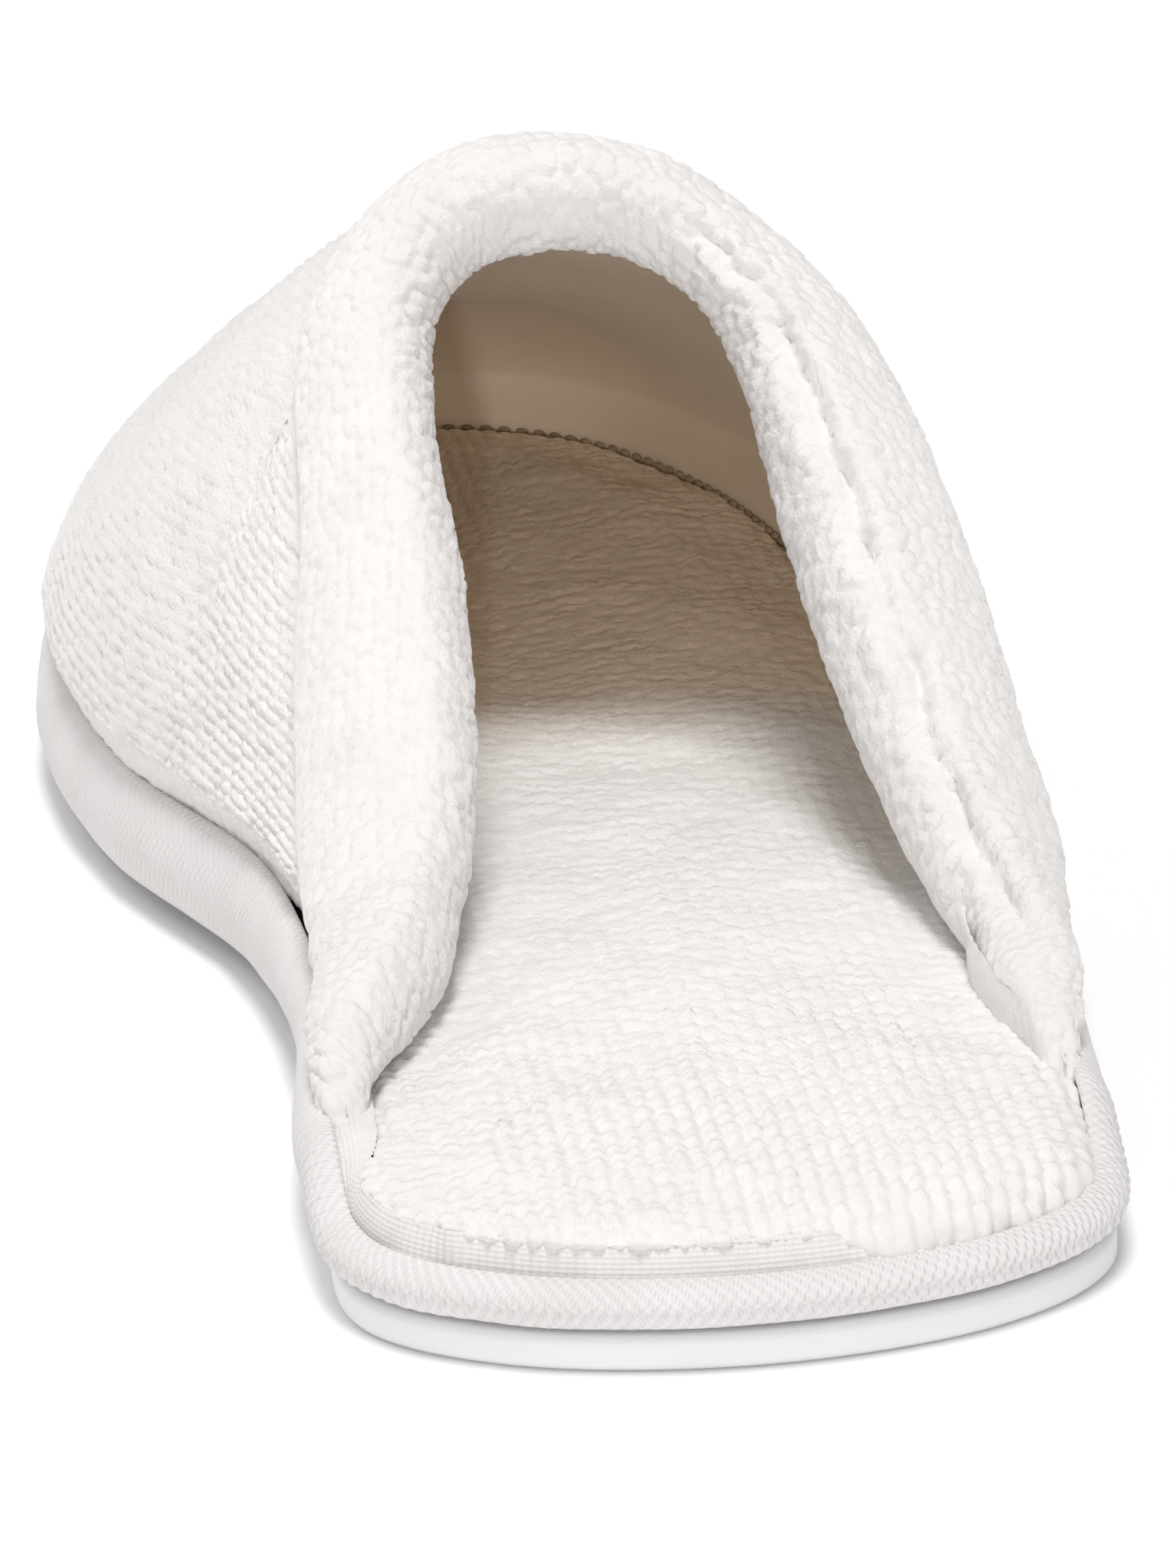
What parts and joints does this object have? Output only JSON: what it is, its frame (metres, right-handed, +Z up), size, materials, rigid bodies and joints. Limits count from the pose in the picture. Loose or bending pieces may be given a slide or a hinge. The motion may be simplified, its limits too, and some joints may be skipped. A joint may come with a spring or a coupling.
{
  "type": "scuff slipper",
  "caption": "Open-back padded terry slipper with a rolled hem round its opening, a cushioned footbed, a bound edge and a thin flat foam sole.",
  "frame": {"origin": "on the floor, under the middle of the slipper's box", "axes": "+Z up, +Y from the heel to the toe, +X to the wearer's right, the lateral side of this right slipper"},
  "size_m": [0.099, 0.28, 0.0773],
  "materials": {
    "sole_foam": "smooth matte closed-cell foam",
    "footbed_terry": "looped terry over a foam cushion",
    "binding_tape": "woven twill tape",
    "terry": "looped terry, quilted over thin foam"
  },
  "bodies": {
    "root": {"outsole": "sole_foam", "footbed": "footbed_terry", "binding": "binding_tape", "upper": "terry", "collar_hem": "terry"}
  },
  "joints": []
}
